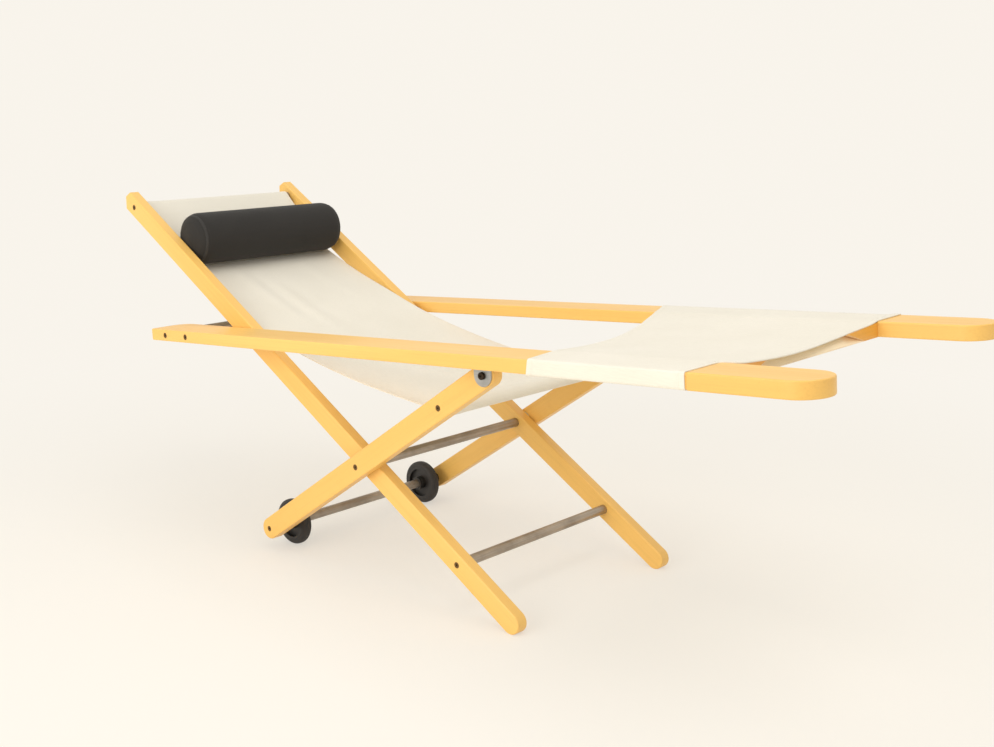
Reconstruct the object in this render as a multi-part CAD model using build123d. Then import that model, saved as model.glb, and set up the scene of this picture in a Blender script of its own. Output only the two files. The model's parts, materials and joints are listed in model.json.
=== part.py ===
from build123d import *
import os
from math import asin, atan2, cos, degrees, hypot, radians, sin

os.makedirs("parts", exist_ok=True)

# Folding garden chaise: two crossed leg frames, a canvas sling, and two long arm rails that carry
# a canvas leg rest and end in handles, so that it rolls on its rear wheels like a barrow.
# Millimetres. X runs to the foot end, Y to the sitter's left, Z up from the floor.

# Stance
LEG_SLOPE = 34.4           # degrees, rear wheel up to the rail bracket
POST_SLOPE = 30.28         # degrees, front foot up to the head
RAIL_SLOPE = 4.58          # degrees, the handles stand higher than the rear end

# Boards
BOARD = 25.0               # thickness of posts and legs
LEG_WIDTH = 45.0
POST_WIDTH = 42.0
RAIL_WIDTH = 91.5
RAIL_THICK = 25.0
EDGE_ROUND = 2.5           # softened edges of every board
OVERCUT = 1.0              # a cutter reaches this far out of the piece

# Places across the width, right half mirrored
POST_INNER = 211.0         # post's inner face from the middle plane
LAYER_GAP = 2.5            # between the post and the leg or rail beside it
GAP_WASHER_PLAY = 0.2      # what the pivot washer leaves of that gap

# Distances along the boards from the crossing pivot
HEAD_ROD_AT = 912.0
POST_END = 39.0            # post beyond the head rod
TIP_CLIP = 20.0            # clipped corner of the post's top
FOOT_ROD_AT = 291.4
FOOT_FLAT = 0.8            # worn flat under the rounded foot
SEAT_ROD_AT = 283.1
RAIL_BOLT_AT = 422.8
AXLE_AT = 346.6

# Rods and their end screws
ROD = 20.0
TUBE_WALL = 2.0            # the rods are tubes, all but the pivot rod
PLUG_LONG = 30.0           # threaded plug in a tube's end
ROD_SOCKET = 8.0           # how deep a rod's end sits in a board
RAIL_SOCKET = 20.0         # how deep a rear rod's end sits in a rail's edge
ROD_FIT = 0.05             # radial clearance of sockets, journals and screws
JOURNAL = 12.0             # turned-down end of the pivot rod
JOURNAL_SOCKET = 14.0
SHOULDER_PLAY = 0.3        # pivot rod's shoulder to the post
SCREW = 6.0
SCREW_HEAD = 12.0
SCREW_HEAD_HIGH = 3.6
SCREW_RIM = 0.6            # upright edge of the head
SCREW_GRIP = 18.0          # screw's length inside the rod
SCREW_SUNK = 0.3           # head below the wood
KEY = 4.0                  # across flats of the hexagon key hole
KEY_DEEP = 2.2

# Wheels
WHEEL = 100.0
TYRE_WIDTH = 22.0
TYRE_DEEP = 13.0           # tyre's height above the hub's rim
TYRE_CROWN = 9.0           # rounding of the tread
HUB_RIM = 4.0
HUB_WEB = 6.0
HUB_BOSS = 30.0
HUB_BOSS_LONG = 25.0
WHEEL_PLAY = 0.4           # along the axle
WHEEL_TO_POST = 5.0        # tyre clear of a folded post
AXLE_FIT = 0.08            # radial running clearance
SPACER = 25.0              # outer diameter of the tube between wheel and leg
COLLAR = 30.0
COLLAR_LONG = 7.0

# Rail bracket: a steel angle under the rail, its tab beside the leg
RAIL_LIFT = 1.0            # rail's underside above the leg's round end
TAB_THICK = 3.0
TAB_WIDTH = 40.0
TAB_GAP = 1.0
TAB_WASHER = 0.8
TAB_WASHER_WIDE = 32.0
FLANGE_LONG = 64.0
FLANGE_WIDE = 40.0
FLANGE_SCREW_AT = 24.0     # its screws from the tab's inner face
RAIL_BOLT = 8.0
RAIL_BOLT_HEAD = 14.0
RAIL_BOLT_HEAD_HIGH = 5.0
RAIL_BOLT_ROUND = 2.0
INSERT = 12.0              # threaded sleeve in the leg
INSERT_FLANGE = 20.0
INSERT_FLANGE_HIGH = 2.0
INSERT_LONG = 14.0
WOOD_SCREW = 4.0
WOOD_SCREW_HEAD = 8.0
WOOD_SCREW_HEAD_HIGH = 2.6
WOOD_SCREW_LONG = 20.0
WOOD_SCREW_POINT = 4.0
WOOD_SCREW_SIDE = 22.0     # half the spacing of a bracket's two screws

# Stations along the rail from the bracket bolt, positive to the foot end
RAIL_REAR = -947.0
REAR_ROD_AT = -891.0
STOP_ROD_AT = -814.6
CANVAS_FRONT = 471.0
HANDLE_START = 474.0
HANDLE_END = 684.0
HANDLE_PROUD = 1.5         # handle stands this far proud of the rail, level with the canvas
REAR_CORNER_INNER = 36.0
REAR_CORNER_OUTER = 8.0

# Cross bar between the handles, doweled to their inner faces, its top hollowed for the canvas
BAR_AHEAD = 17.0           # bar's front face from the handle's start
BAR_WIDTH = 37.0
BAR_LIP = 1.5              # front face left under the long chamfer
BAR_CHAMFER = 40.0         # degrees, slope of that chamfer
CHAMFER_SIDE = 51.0        # at its foot the chamfer stops this far from the handles
CHAMFER_LEAN = 72.0        # degrees, its stops lean inward
BAR_NOTCH = 6.0            # corner cut away beside the canvas tunnel
HANDLE_LAP = 27.0          # thin board runs on inside the handle
DOWEL = 6.0
DOWEL_HALF = 25.0          # a dowel's length in each piece
DOWEL_BEHIND = 8.0         # from the bar's front face
DOWEL_LOW = 6.5            # lower dowel above the bar's underside
DOWEL_SPACE = 11.0

# Canvas
CLOTH = 1.4
CLOTH_GAP = 0.3
LEG_SAG = 11.0             # dip of the leg canvas between the rails
CANVAS_REAR_RIGHT = 157.0  # the rear edge lies askew, from the right rail
CANVAS_REAR_MIDDLE = 102.0
CANVAS_REAR_LEFT = -39.0   # to the left rail
CANVAS_NOTCH = 48.0        # underside cut away this far forward of the bracket bolt
CANVAS_LIP = 13.0          # between the handles it reaches this far on over the cross bar
LIP_SIDE = 3.0             # and is clear of the handles
SLING_TO_POST = 8.0        # sling's edge clear of the post
SLING_LEAVE = -24.0        # degrees, slope of the sling past the bolster
SLING_ARRIVE = -3.0        # degrees, slope of the sling at the seat rod
SLING_PULL_TOP = 330.0     # how far the sling holds those slopes
SLING_PULL_SEAT = 400.0
POCKET = 14.0              # radius of the loose seat hem
POCKET_DROP = 4.0

# Bolster
BOLSTER = 116.0
BOLSTER_TO_POST = 9.0      # bolster's end clear of the post
BOLSTER_COVER = 2.0
BOLSTER_ROUND = 20.0
BOLSTER_AT = 731.5         # along the post
BOLSTER_LIFT = 32.2        # its middle in front of the post's middle line

# Worked out from the sizes above
POST_RISE = 180 - POST_SLOPE
POST_OUTER = POST_INNER + BOARD
LEG_INNER = POST_OUTER + LAYER_GAP
LEG_OUTER = LEG_INNER + BOARD
RAIL_INNER = LEG_INNER
RAIL_OUTER = RAIL_INNER + RAIL_WIDTH
HANDLE_INNER = RAIL_INNER - HANDLE_PROUD
PIVOT_Z = AXLE_AT * sin(radians(LEG_SLOPE)) + WHEEL / 2
FOOT_AT = (PIVOT_Z - POST_WIDTH / 2 + FOOT_FLAT) / sin(radians(POST_SLOPE))
RAIL_UNDER = LEG_WIDTH / 2 + RAIL_LIFT
RAIL_MIDDLE = RAIL_UNDER + RAIL_THICK / 2
RAIL_TOP = RAIL_UNDER + RAIL_THICK
WHEEL_OUTER = POST_INNER - WHEEL_TO_POST
WHEEL_MIDDLE = WHEEL_OUTER - TYRE_WIDTH / 2
SLING_HALF_WIDTH = POST_INNER - SLING_TO_POST
BOLSTER_LONG = 2 * (POST_INNER - BOLSTER_TO_POST)
SIDES = {"left": 1, "right": -1}


def along(slope, distance, lift=0.0):
    """XZ of a point on a line through the pivot: distance along it, lift to its left."""
    a = radians(slope)
    return (distance * cos(a) - lift * sin(a), PIVOT_Z + distance * sin(a) + lift * cos(a))


def side_plane(slope, y, x=0.0, z=None):
    """Plane square to Y whose own x runs up a board and whose normal is -Y."""
    a = radians(slope)
    return Plane(origin=(x, y, PIVOT_Z if z is None else z), x_dir=(cos(a), 0, sin(a)), z_dir=(0, -1, 0))


def upright(outline, slope, inner, outer, side, x=0.0, z=None):
    """An outline drawn along a board, given its thickness between two distances from the middle."""
    top = outer if side > 0 else -inner
    return extrude(side_plane(slope, top, x, z) * outline, outer - inner)


def soften(board, axis, radius):
    """Rounds the edges of a board's two broad faces."""
    faces = board.faces().filter_by(axis).sort_by(axis)
    return fillet(faces[0].edges() + faces[-1].edges(), radius)


def peg(radius, low, high, place):
    """A cylinder along Y at an XZ place, between two Y values."""
    body = Rot(90, 0, 0) * Cylinder(radius, high - low)
    return Pos(place[0], (low + high) / 2, place[1]) * body


def mirrored(radius, low, high, place, side):
    """A cylinder between two distances from the middle plane, on one side."""
    return peg(radius, min(side * low, side * high), max(side * low, side * high), place)


def ring(outer, inner, low, high, place, side):
    """A tube along Y between two distances from the middle plane."""
    return mirrored(outer, low, high, place, side) - mirrored(inner, low - OVERCUT, high + OVERCUT, place, side)


def screw(face, tip, place, side):
    """Countersunk screw along Y from a board's outer face to its tip, with a hexagon key hole."""
    top = face - SCREW_SUNK
    neck = top - SCREW_HEAD_HIGH
    outline = Polyline((0, 0), (SCREW_HEAD / 2, 0), (SCREW_HEAD / 2, -SCREW_RIM), (SCREW / 2, neck - top),
                       (SCREW / 2, tip - top), (0, tip - top), close=True)
    body = revolve(make_face(Plane.XZ * outline), Axis.Z)
    body -= Pos(0, 0, -KEY_DEEP) * extrude(RegularPolygon(KEY / 2, 6, major_radius=False), KEY_DEEP + OVERCUT)
    return Pos(place[0], side * top, place[1]) * Rot(-90 * side, 0, 0) * body


def screw_hole(face, tip, place, side):
    """Room for that screw, with its clearance."""
    neck = face - SCREW_SUNK - SCREW_HEAD_HIGH
    hole = mirrored(SCREW / 2 + ROD_FIT, tip, face + OVERCUT, place, side)
    return hole + mirrored(SCREW_HEAD / 2 + ROD_FIT, neck, face + OVERCUT, place, side)


def wood_screw(length):
    """Small countersunk wood screw, head up, its top at the origin."""
    neck = -WOOD_SCREW_HEAD_HIGH
    outline = Polyline((0, 0), (WOOD_SCREW_HEAD / 2, 0), (WOOD_SCREW / 2, neck),
                       (WOOD_SCREW / 2, WOOD_SCREW_POINT - length), (0, -length), close=True)
    return revolve(make_face(Plane.XZ * outline), Axis.Z)


def wood_screw_hole(length):
    """Room for the wood screw."""
    hole = Pos(0, 0, -length / 2) * Cylinder(WOOD_SCREW / 2 + ROD_FIT, length)
    head = Pos(0, 0, -WOOD_SCREW_HEAD_HIGH / 2) * Cylinder(WOOD_SCREW_HEAD / 2 + ROD_FIT, WOOD_SCREW_HEAD_HIGH)
    return hole + head


HEAD = along(POST_RISE, HEAD_ROD_AT)
FOOT_ROD = along(-POST_SLOPE, FOOT_ROD_AT)
SEAT = along(LEG_SLOPE, SEAT_ROD_AT)
AXLE = along(180 + LEG_SLOPE, AXLE_AT)
RAIL_PIVOT = along(LEG_SLOPE, RAIL_BOLT_AT)
PIVOT = (0.0, PIVOT_Z)
BOLSTER_MIDDLE = along(POST_RISE, BOLSTER_AT, -BOLSTER_LIFT)
RAIL_PLANE = Plane(origin=(RAIL_PIVOT[0], 0, RAIL_PIVOT[1]),
                   x_dir=(cos(radians(RAIL_SLOPE)), 0, sin(radians(RAIL_SLOPE))),
                   z_dir=(-sin(radians(RAIL_SLOPE)), 0, cos(radians(RAIL_SLOPE))))


def on_rail(distance, lift):
    """XZ of a point given along and above the rail from the bracket bolt."""
    a = radians(RAIL_SLOPE)
    return (RAIL_PIVOT[0] + distance * cos(a) - lift * sin(a), RAIL_PIVOT[1] + distance * sin(a) + lift * cos(a))


STOP_ROD = on_rail(STOP_ROD_AT, RAIL_MIDDLE)
REAR_ROD = on_rail(REAR_ROD_AT, RAIL_MIDDLE)
parts = {}


def post(side):
    """Board from the head to the rounded front foot, its top cut upright with the tip clipped."""
    half = POST_WIDTH / 2
    lean = radians(POST_SLOPE)
    end = HEAD_ROD_AT + POST_END
    run = half * sin(lean) / cos(lean)
    clip = TIP_CLIP * sin(lean)
    drop = TIP_CLIP * cos(lean)
    outline = Polyline((-FOOT_AT, half), (-FOOT_AT, -half), (end + run - TIP_CLIP, -half),
                       (end + run - clip, drop - half), (end - run, half), close=True)
    sketch = make_face(outline) + Pos(-FOOT_AT, 0) * Circle(half)
    body = upright(sketch, POST_RISE, POST_INNER, POST_OUTER, side)
    body = soften(body, Axis.Y, EDGE_ROUND)
    floor = Box(2 * POST_WIDTH, 2 * RAIL_OUTER, POST_WIDTH)
    body -= Pos(FOOT_AT * cos(lean), 0, -POST_WIDTH / 2) * floor
    body -= mirrored(JOURNAL / 2 + ROD_FIT, POST_INNER - OVERCUT, POST_OUTER + OVERCUT, PIVOT, side)
    for place in (HEAD, FOOT_ROD):
        body -= mirrored(ROD / 2 + ROD_FIT, POST_INNER - OVERCUT, POST_INNER + ROD_SOCKET, place, side)
        body -= screw_hole(POST_OUTER, POST_INNER, place, side)
    return body


def leg(side):
    """Board from the rear axle to the rail bracket, rounded at both ends."""
    middle = (RAIL_BOLT_AT - AXLE_AT) / 2
    outline = Pos(middle, 0) * SlotCenterToCenter(RAIL_BOLT_AT + AXLE_AT, LEG_WIDTH)
    body = soften(upright(outline, LEG_SLOPE, LEG_INNER, LEG_OUTER, side), Axis.Y, EDGE_ROUND)
    for place in (SEAT, AXLE):
        body -= mirrored(ROD / 2 + ROD_FIT, LEG_INNER - OVERCUT, LEG_INNER + ROD_SOCKET, place, side)
        body -= screw_hole(LEG_OUTER, LEG_INNER, place, side)
    body -= mirrored(JOURNAL / 2 + ROD_FIT, LEG_INNER - OVERCUT, LEG_INNER + JOURNAL_SOCKET, PIVOT, side)
    body -= screw_hole(LEG_OUTER, LEG_INNER, PIVOT, side)
    body -= mirrored(RAIL_BOLT / 2 + ROD_FIT, LEG_INNER - OVERCUT, LEG_OUTER + OVERCUT, RAIL_PIVOT, side)
    body -= mirrored(INSERT / 2 + ROD_FIT, LEG_INNER - OVERCUT, LEG_INNER + INSERT_LONG, RAIL_PIVOT, side)
    flush = LEG_INNER + INSERT_FLANGE_HIGH
    body -= mirrored(INSERT_FLANGE / 2 + ROD_FIT, LEG_INNER - OVERCUT, flush, RAIL_PIVOT, side)
    return body


def rod(half, place):
    """Round tube between two boards."""
    return peg(ROD / 2, -half, half, place) - peg(ROD / 2 - TUBE_WALL, -half - OVERCUT, half + OVERCUT, place)


def rod_plugs(half, places):
    """Plugs in the tubes' ends, drilled for the screws."""
    return Compound([
        ring(ROD / 2 - TUBE_WALL, SCREW / 2 + ROD_FIT, half - PLUG_LONG, half, place, side)
        for place in places for side in SIDES.values()])


def rod_screws(face, half, places):
    """The screws that hold the rods' ends, one at each side of each place."""
    tip = half - SCREW_GRIP + ROD_FIT
    return Compound([screw(face, tip, place, side) for place in places for side in SIDES.values()])


for name, side in SIDES.items():
    parts[f"post_{name}"] = post(side)
    parts[f"leg_{name}"] = leg(side)

POST_ROD_HALF = POST_INNER + ROD_SOCKET
LEG_ROD_HALF = LEG_INNER + ROD_SOCKET
RAIL_ROD_HALF = RAIL_INNER + RAIL_SOCKET
JOURNAL_HALF = LEG_INNER + JOURNAL_SOCKET
parts["head_rod"] = rod(POST_ROD_HALF, HEAD)
parts["foot_rod"] = rod(POST_ROD_HALF, FOOT_ROD)
parts["seat_rod"] = rod(LEG_ROD_HALF, SEAT)
parts["wheel_axle"] = rod(LEG_ROD_HALF, AXLE)
parts["back_stop_rod"] = rod(RAIL_ROD_HALF, STOP_ROD)
parts["rear_rod"] = rod(RAIL_ROD_HALF, REAR_ROD)
parts["post_rod_plugs"] = rod_plugs(POST_ROD_HALF, [HEAD, FOOT_ROD])
parts["leg_rod_plugs"] = rod_plugs(LEG_ROD_HALF, [SEAT, AXLE])
parts["rail_rod_plugs"] = rod_plugs(RAIL_ROD_HALF, [STOP_ROD, REAR_ROD])
parts["post_screws"] = rod_screws(POST_OUTER, POST_ROD_HALF, [HEAD, FOOT_ROD])
parts["leg_screws"] = rod_screws(LEG_OUTER, LEG_ROD_HALF, [SEAT, AXLE])
parts["pivot_screws"] = rod_screws(LEG_OUTER, JOURNAL_HALF, [PIVOT])
parts["rail_screws"] = rod_screws(RAIL_OUTER, RAIL_ROD_HALF, [STOP_ROD, REAR_ROD])

pivot_rod = peg(ROD / 2, SHOULDER_PLAY - POST_INNER, POST_INNER - SHOULDER_PLAY, PIVOT)
pivot_rod += peg(JOURNAL / 2, -JOURNAL_HALF, JOURNAL_HALF, PIVOT)
for side in SIDES.values():
    pivot_rod -= mirrored(SCREW / 2 + ROD_FIT, JOURNAL_HALF - SCREW_GRIP, JOURNAL_HALF + OVERCUT, PIVOT, side)
parts["pivot_rod"] = pivot_rod
parts["pivot_washers"] = Compound([
    ring(LEG_WIDTH / 2 - EDGE_ROUND, JOURNAL / 2 + ROD_FIT, POST_OUTER + GAP_WASHER_PLAY, LEG_INNER, PIVOT, side)
    for side in SIDES.values()])


def wheel_tyre(side):
    """Rubber tyre with a rounded tread."""
    outer = WHEEL / 2
    inner = outer - TYRE_DEEP
    half = TYRE_WIDTH / 2
    outline = make_face(Polyline((inner, -half), (outer, -half), (outer, half), (inner, half), close=True))
    outline = fillet(outline.vertices().sort_by(Axis.X)[-2:], TYRE_CROWN)
    body = revolve(Plane.XZ * outline, Axis.Z)
    return Pos(AXLE[0], side * WHEEL_MIDDLE, AXLE[1]) * Rot(90, 0, 0) * body


def wheel_hub(side):
    """Moulded wheel body: rim, web and boss, bored for the axle."""
    rim = WHEEL / 2 - TYRE_DEEP
    bore = ROD / 2 + AXLE_FIT
    body = Cylinder(rim, TYRE_WIDTH) - Cylinder(rim - HUB_RIM, TYRE_WIDTH + OVERCUT)
    body += Cylinder(rim - HUB_RIM / 2, HUB_WEB)
    body += Cylinder(HUB_BOSS / 2, HUB_BOSS_LONG)
    body -= Cylinder(bore, HUB_BOSS_LONG + OVERCUT)
    return Pos(AXLE[0], side * WHEEL_MIDDLE, AXLE[1]) * Rot(90, 0, 0) * body


BOSS_OUTER = WHEEL_MIDDLE + HUB_BOSS_LONG / 2
BOSS_INNER = WHEEL_MIDDLE - HUB_BOSS_LONG / 2
for name, side in SIDES.items():
    parts[f"wheel_tyre_{name}"] = wheel_tyre(side)
    parts[f"wheel_hub_{name}"] = wheel_hub(side)
parts["wheel_spacers"] = Compound([
    ring(SPACER / 2, ROD / 2 + ROD_FIT, BOSS_OUTER + WHEEL_PLAY, LEG_INNER, AXLE, side)
    for side in SIDES.values()])
parts["axle_collars"] = Compound([
    ring(COLLAR / 2, ROD / 2 + ROD_FIT, BOSS_INNER - WHEEL_PLAY - COLLAR_LONG, BOSS_INNER - WHEEL_PLAY, AXLE, side)
    for side in SIDES.values()])


def handle_outline():
    """Plan of the handle, with its half-round end."""
    outer = RAIL_OUTER + HANDLE_PROUD
    radius = (outer - HANDLE_INNER) / 2
    straight = HANDLE_END - radius
    edge = Line((HANDLE_START, outer), (straight, outer))
    edge += ThreePointArc((straight, outer), (HANDLE_END, outer - radius), (straight, HANDLE_INNER))
    edge += Polyline((straight, HANDLE_INNER), (HANDLE_START, HANDLE_INNER), (HANDLE_START, outer))
    return make_face(edge)


BAR_UNDER = RAIL_UNDER - HANDLE_PROUD
BAR_FRONT = HANDLE_START + BAR_AHEAD
DOWEL_LEVELS = [BAR_UNDER + DOWEL_LOW, BAR_UNDER + DOWEL_LOW + DOWEL_SPACE]


def crossbar_dowels(side, radius):
    """Two dowels between one handle and the cross bar, in the rail's own frame."""
    dowel = Rot(90, 0, 0) * Cylinder(radius, 2 * DOWEL_HALF)
    return [Pos(BAR_FRONT - DOWEL_BEHIND, side * HANDLE_INNER, level) * dowel for level in DOWEL_LEVELS]


def bracket_screw_places(side):
    """Plan places of the two screws that hold one bracket's flange."""
    y = side * (LEG_OUTER + TAB_GAP + FLANGE_SCREW_AT)
    return [(-WOOD_SCREW_SIDE, y), (WOOD_SCREW_SIDE, y)]


def arm_rail(side):
    """One long board: armrest, leg-rest bearer and handle."""
    length = HANDLE_START - RAIL_REAR + HANDLE_LAP
    middle = (RAIL_REAR + length / 2, RAIL_INNER + RAIL_WIDTH / 2)
    plan = Pos(*middle) * Rectangle(length, RAIL_WIDTH)
    rear = plan.vertices().sort_by(Axis.X)[:2].sort_by(Axis.Y)
    plan = fillet(rear[0], REAR_CORNER_INNER)
    plan = fillet(plan.vertices().group_by(Axis.X)[0].sort_by(Axis.Y)[-1], REAR_CORNER_OUTER)
    board = soften(Pos(0, 0, RAIL_UNDER) * extrude(plan, RAIL_THICK), Axis.Z, EDGE_ROUND)
    handle = extrude(handle_outline(), RAIL_THICK + 2 * HANDLE_PROUD)
    handle = soften(Pos(0, 0, BAR_UNDER) * handle, Axis.Z, EDGE_ROUND)
    body = board + handle
    if side < 0:
        body = mirror(body, Plane.XZ)
    for dowel in crossbar_dowels(side, DOWEL / 2 + ROD_FIT):
        body -= dowel
    for x, y in bracket_screw_places(side):
        body -= Pos(x, y, RAIL_UNDER - TAB_THICK) * Rot(180, 0, 0) * wood_screw_hole(WOOD_SCREW_LONG)
    body = RAIL_PLANE * body
    for place in (STOP_ROD, REAR_ROD):
        body -= mirrored(ROD / 2 + ROD_FIT, RAIL_INNER - OVERCUT, RAIL_INNER + RAIL_SOCKET, place, side)
        body -= screw_hole(RAIL_OUTER, RAIL_INNER, place, side)
    return body


def rail_bracket(side):
    """Steel angle: a round-ended tab on the bolt and a flange screwed under the rail."""
    near = LEG_OUTER + TAB_GAP
    tab = Circle(TAB_WIDTH / 2) + Pos(0, RAIL_UNDER / 2) * Rectangle(TAB_WIDTH, RAIL_UNDER)
    body = upright(tab, RAIL_SLOPE, near, near + TAB_THICK, side, *RAIL_PIVOT)
    flange = Pos(0, side * (near + FLANGE_WIDE / 2), RAIL_UNDER - TAB_THICK / 2)
    flange *= Box(FLANGE_LONG, FLANGE_WIDE, TAB_THICK)
    for x, y in bracket_screw_places(side):
        flange -= Pos(x, y, RAIL_UNDER - TAB_THICK) * Rot(180, 0, 0) * wood_screw_hole(WOOD_SCREW_LONG)
    body += RAIL_PLANE * flange
    far = near + TAB_THICK + OVERCUT
    return body - mirrored(RAIL_BOLT / 2 + ROD_FIT, near - OVERCUT, far, RAIL_PIVOT, side)


def rail_bolt(side):
    """Bolt from the tab's outer face into the leg's threaded sleeve, with a key hole in its head."""
    seat = LEG_OUTER + TAB_GAP + TAB_THICK + GAP_WASHER_PLAY
    top = seat + RAIL_BOLT_HEAD_HIGH
    head = fillet(Cylinder(RAIL_BOLT_HEAD / 2, RAIL_BOLT_HEAD_HIGH).edges().group_by(Axis.Z)[-1], RAIL_BOLT_ROUND)
    head = Pos(0, 0, -RAIL_BOLT_HEAD_HIGH / 2) * head
    head -= Pos(0, 0, -KEY_DEEP) * extrude(RegularPolygon(KEY / 2, 6, major_radius=False), KEY_DEEP + OVERCUT)
    head = Pos(RAIL_PIVOT[0], side * top, RAIL_PIVOT[1]) * Rot(-90 * side, 0, 0) * head
    return head + mirrored(RAIL_BOLT / 2, LEG_INNER + INSERT_FLANGE_HIGH, seat, RAIL_PIVOT, side)


def rail_insert(side):
    """Threaded sleeve sunk flush in the leg's inner face."""
    body = mirrored(INSERT / 2, LEG_INNER, LEG_INNER + INSERT_LONG, RAIL_PIVOT, side)
    body += mirrored(INSERT_FLANGE / 2, LEG_INNER, LEG_INNER + INSERT_FLANGE_HIGH, RAIL_PIVOT, side)
    end = LEG_INNER + INSERT_LONG + OVERCUT
    return body - mirrored(RAIL_BOLT / 2 + ROD_FIT, LEG_INNER - OVERCUT, end, RAIL_PIVOT, side)


for name, side in SIDES.items():
    parts[f"arm_rail_{name}"] = arm_rail(side)
    parts[f"rail_bracket_{name}"] = rail_bracket(side)
parts["rail_pivot_bolts"] = Compound([rail_bolt(side) for side in SIDES.values()])
parts["rail_pivot_sleeves"] = Compound([rail_insert(side) for side in SIDES.values()])
parts["rail_pivot_washers"] = Compound([
    ring(TAB_WASHER_WIDE / 2, RAIL_BOLT / 2 + ROD_FIT, LEG_OUTER, LEG_OUTER + TAB_WASHER, RAIL_PIVOT, side)
    for side in SIDES.values()])
parts["bracket_screws"] = Compound([
    RAIL_PLANE * (Pos(x, y, RAIL_UNDER - TAB_THICK) * Rot(180, 0, 0) * wood_screw(WOOD_SCREW_LONG))
    for side in SIDES.values() for x, y in bracket_screw_places(side)])


def bar_chamfer():
    """What the long stopped chamfer takes from the cross bar's front, in the rail's own frame."""
    foot = BAR_UNDER + BAR_LIP
    rise = RAIL_TOP - BAR_UNDER
    slope = sin(radians(BAR_CHAMFER)) / cos(radians(BAR_CHAMFER))
    section = Polyline((BAR_FRONT + OVERCUT, foot - OVERCUT * slope), (BAR_FRONT + OVERCUT, foot + rise),
                       (BAR_FRONT - rise / slope, foot + rise), close=True)
    wedge = extrude(Plane.XZ * make_face(section), HANDLE_INNER, both=True)
    low = HANDLE_INNER - CHAMFER_SIDE
    lean = sin(radians(CHAMFER_LEAN)) / cos(radians(CHAMFER_LEAN))
    high = low - (rise + BAR_LIP) * lean
    stops = Polyline((-low, BAR_UNDER), (low, BAR_UNDER), (high, foot + rise), (-high, foot + rise), close=True)
    across = Plane(origin=(BAR_FRONT - BAR_WIDTH, 0, 0), x_dir=(0, 1, 0), z_dir=(1, 0, 0))
    return wedge & extrude(across * make_face(stops), BAR_WIDTH + OVERCUT)


def cross_bar():
    """Bar under the canvas' front edge, its hollow top along the canvas, its ends on the handles."""
    outline = ThreePointArc((-HANDLE_INNER, RAIL_TOP), (0, RAIL_TOP - LEG_SAG), (HANDLE_INNER, RAIL_TOP))
    outline += Polyline((HANDLE_INNER, RAIL_TOP), (HANDLE_INNER, BAR_UNDER), (-HANDLE_INNER, BAR_UNDER),
                        (-HANDLE_INNER, RAIL_TOP))
    rear = BAR_FRONT - BAR_WIDTH
    across = Plane(origin=(rear, 0, 0), x_dir=(0, 1, 0), z_dir=(1, 0, 0))
    body = extrude(across * make_face(outline), BAR_WIDTH)
    rear_face = body.faces().sort_by(Axis.X)[0]
    body = fillet([edge for edge in rear_face.edges() if edge.length > HANDLE_INNER], EDGE_ROUND)
    body -= bar_chamfer()
    ahead = HANDLE_START + CLOTH
    for side in SIDES.values():
        notch = Box(2 * (ahead - rear), 2 * BAR_NOTCH, 3 * RAIL_TOP)
        body -= Pos(rear, side * HANDLE_INNER, 0) * notch
        for dowel in crossbar_dowels(side, DOWEL / 2 + ROD_FIT):
            body -= dowel
    return RAIL_PLANE * body


parts["leg_rest_crossbar"] = cross_bar()
parts["crossbar_dowels"] = Compound([
    RAIL_PLANE * dowel for side in SIDES.values() for dowel in crossbar_dowels(side, DOWEL / 2)])


def leg_canvas():
    """Canvas with a sewn tunnel round each rail and a sagging sheet between, its rear edge askew."""
    low = RAIL_UNDER - CLOTH_GAP
    high = RAIL_TOP + CLOTH_GAP
    inner = RAIL_INNER - CLOTH_GAP
    outer = RAIL_OUTER + CLOTH_GAP
    middle = ((inner + outer) / 2, (low + high) / 2)
    section = Sketch()
    for side in SIDES.values():
        place = Pos(side * middle[0], middle[1])
        tunnel = Rectangle(outer - inner + 2 * CLOTH, high - low + 2 * CLOTH)
        section += place * (tunnel - Rectangle(outer - inner, high - low))
    reach = inner - CLOTH / 2
    sheet = ThreePointArc((-reach, high), (0, high - LEG_SAG), (reach, high))
    sheet += Line((reach, high), (reach, high + CLOTH))
    sheet += ThreePointArc((reach, high + CLOTH), (0, high + CLOTH - LEG_SAG), (-reach, high + CLOTH))
    sheet += Line((-reach, high + CLOTH), (-reach, high))
    sheet = make_face(sheet)
    section += sheet
    rear = min(CANVAS_REAR_LEFT, CANVAS_REAR_RIGHT) - BOARD
    across = Plane(origin=(rear, 0, 0), x_dir=(0, 1, 0), z_dir=(1, 0, 0))
    body = extrude(across * section, CANVAS_FRONT - rear)
    reach = outer + 2 * CLOTH
    edge = ThreePointArc((CANVAS_REAR_RIGHT, -reach), (CANVAS_REAR_MIDDLE, 0), (CANVAS_REAR_LEFT, reach))
    edge += Polyline((CANVAS_REAR_LEFT, reach), (rear - BOARD, reach), (rear - BOARD, -reach),
                     (CANVAS_REAR_RIGHT, -reach))
    body -= extrude(make_face(edge), 2 * RAIL_TOP)
    under = Box(CANVAS_NOTCH - rear + BOARD, 3 * RAIL_OUTER, RAIL_UNDER + CLOTH)
    body -= Pos((CANVAS_NOTCH + rear - BOARD) / 2, 0, (RAIL_UNDER + CLOTH) / 2) * under
    lip = sheet & Rectangle(2 * (HANDLE_INNER - LIP_SIDE), 4 * RAIL_TOP)
    front = Plane(origin=(CANVAS_FRONT, 0, 0), x_dir=(0, 1, 0), z_dir=(1, 0, 0))
    return RAIL_PLANE * (body + extrude(front * lip, CANVAS_LIP))


parts["leg_rest_canvas"] = leg_canvas()


def offset_point(point, slope, distance):
    """A point moved square to a line of the given slope in degrees, to its left."""
    a = radians(slope)
    return (point[0] - distance * sin(a), point[1] + distance * cos(a))


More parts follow.
